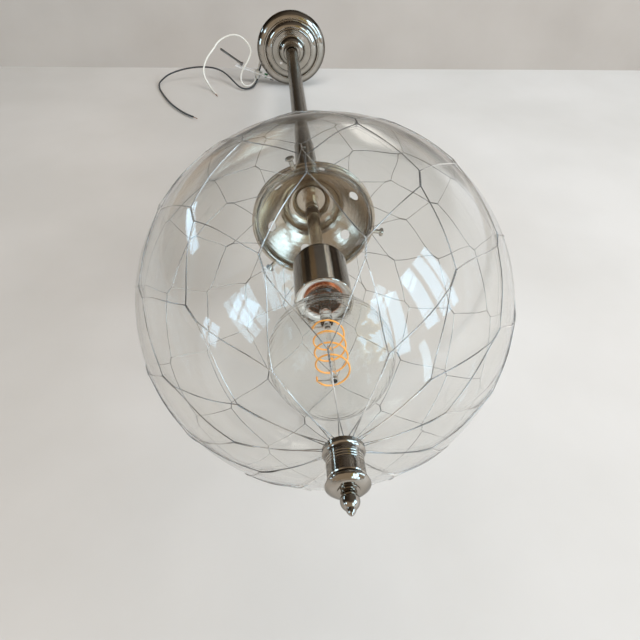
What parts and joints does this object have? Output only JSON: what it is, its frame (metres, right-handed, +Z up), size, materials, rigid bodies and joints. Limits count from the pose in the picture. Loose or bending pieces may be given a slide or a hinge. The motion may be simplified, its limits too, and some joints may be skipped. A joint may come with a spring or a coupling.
{
  "type": "lantern pendant light",
  "caption": "Clear glass globe pendant in a net of twisted wire, with finial, fitter, globe bulb, rigid stem and swivelling ceiling canopy.",
  "frame": {"origin": "centre of the canopy's rim, in the plane of the ceiling", "axes": "+Z up into the ceiling along the stem; the light hangs down along -Z; the supply leads lie towards -X and +Y"},
  "size_m": [0.3857, 0.2546, 1.0216],
  "materials": {
    "polished_nickel": "polished, slightly warm",
    "brass": "satin",
    "dark_bronze": "satin, dark",
    "steel_wire": "drawn, slightly dull",
    "clear_glass": "clear, blown",
    "bulb_clear_glass": "clear, thin",
    "white_ceramic": "glazed",
    "copper": "bright copper",
    "nylon": "natural",
    "black_glass": "gloss",
    "amber_filament": "satin, amber",
    "zinc_steel": "zinc plated",
    "dark_steel": "blackened",
    "green_steel": "dyed green",
    "black_insulation": "satin",
    "white_insulation": "satin"
  },
  "bodies": {
    "canopy": {"canopy": "polished_nickel", "swivel_collar": "polished_nickel", "crossbar": "zinc_steel", "crossbar_nipple": "zinc_steel", "crossbar_nuts": "zinc_steel", "mounting_screws": "dark_steel", "ground_screw": "green_steel", "black_lead": "black_insulation", "white_lead": "white_insulation", "stripped_ends": "copper"},
    "swivel_seat": {"swivel_seat": "nylon"},
    "stem": {"swivel_ball": "polished_nickel", "stem_tube": "polished_nickel", "stem_sleeve": "polished_nickel", "sleeve_set_screw": "dark_steel", "inner_leads": "black_insulation", "fitter": "polished_nickel", "fitter_washer": "polished_nickel", "fitter_nut": "polished_nickel", "socket_tube": "polished_nickel", "socket_ring": "dark_bronze", "socket_cup": "polished_nickel", "socket_insulator": "white_ceramic", "screw_shell": "copper", "socket_contact": "brass"},
    "thumbscrew_1": {"thumbscrew_1": "polished_nickel"},
    "thumbscrew_2": {"thumbscrew_2": "polished_nickel"},
    "thumbscrew_3": {"thumbscrew_3": "polished_nickel"},
    "globe": {"globe_glass": "clear_glass", "net": "steel_wire", "neck_ring": "steel_wire", "finial_cap": "polished_nickel", "finial_hub": "zinc_steel", "finial_bell": "polished_nickel"},
    "finial_knob": {"finial_knob": "polished_nickel"},
    "bulb": {"bulb_glass": "bulb_clear_glass", "bulb_base": "copper", "bulb_insulator": "black_glass", "bulb_contact": "brass", "bulb_stem": "bulb_clear_glass", "filament_supports": "zinc_steel", "filament": "amber_filament"}
  },
  "joints": [
    {"name": "swivel_x", "type": "hinge", "parent": "canopy", "child": "swivel_seat", "pos_m": [0, 0, -0.034], "axis": [1, 0, 0], "range_deg": [-20, 20]},
    {"name": "swivel_y", "type": "hinge", "parent": "swivel_seat", "child": "stem", "pos_m": [0, 0, -0.034], "axis": [0, 1, 0], "range_deg": [-20, 20]},
    {"name": "thumbscrew_1_travel", "type": "slide", "parent": "stem", "child": "thumbscrew_1", "axis": [-0.309, -0.9511, 0], "range_m": [-0.0012, 0.008]},
    {"name": "thumbscrew_2_travel", "type": "slide", "parent": "stem", "child": "thumbscrew_2", "axis": [0.9781, 0.2079, 0], "range_m": [-0.0012, 0.008]},
    {"name": "thumbscrew_3_travel", "type": "slide", "parent": "stem", "child": "thumbscrew_3", "axis": [-0.6691, 0.7431, 0], "range_m": [-0.0012, 0.008]},
    {"name": "globe_lift", "type": "slide", "parent": "stem", "child": "globe", "axis": [0, 0, -1], "range_m": [0, 0.04]},
    {"name": "finial_knob_turn", "type": "hinge", "parent": "globe", "child": "finial_knob", "pos_m": [0, 0, -0.959], "axis": [0, 0, 1], "continuous": true},
    {"name": "bulb_turn", "type": "hinge", "parent": "stem", "child": "bulb", "pos_m": [0, 0, -0.79], "axis": [0, 0, 1], "continuous": true}
  ]
}
